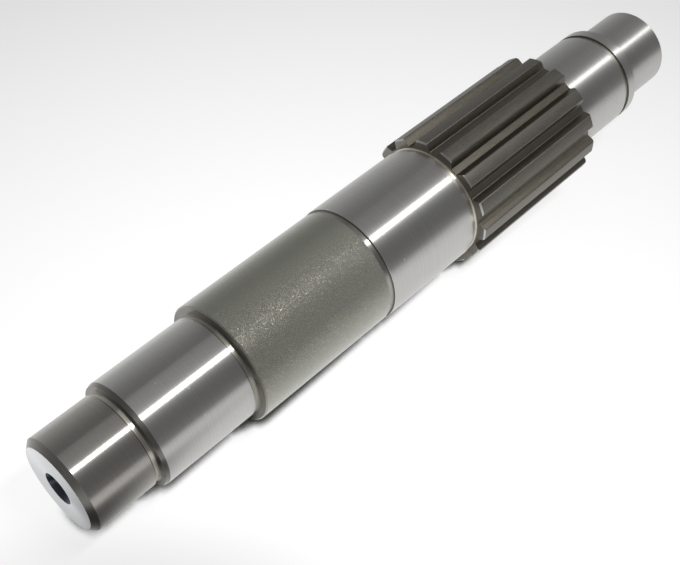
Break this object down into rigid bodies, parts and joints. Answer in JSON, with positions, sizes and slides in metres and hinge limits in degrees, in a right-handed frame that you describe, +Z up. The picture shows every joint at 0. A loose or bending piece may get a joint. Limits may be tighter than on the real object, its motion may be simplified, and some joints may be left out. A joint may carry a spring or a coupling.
{
  "type": "splined machine shaft",
  "caption": "Stepped steel machine shaft with a straight toothed section, ground journals and seats, relief grooves, a retaining ring groove and centred ends.",
  "frame": {"origin": "on the axis of rotation, at half the length between the two end faces", "axes": "+X along the axis towards the tail journal, past the teeth; +Z up, with two neighbouring teeth astride the lowest line; +Y completes a right-handed frame"},
  "size_m": [0.2314, 0.04, 0.0396],
  "materials": {
    "shaft_steel": "ground seats and journals, matt blasted body, hobbed teeth"
  },
  "bodies": {
    "root": {"splined_shaft": "shaft_steel"}
  },
  "joints": []
}
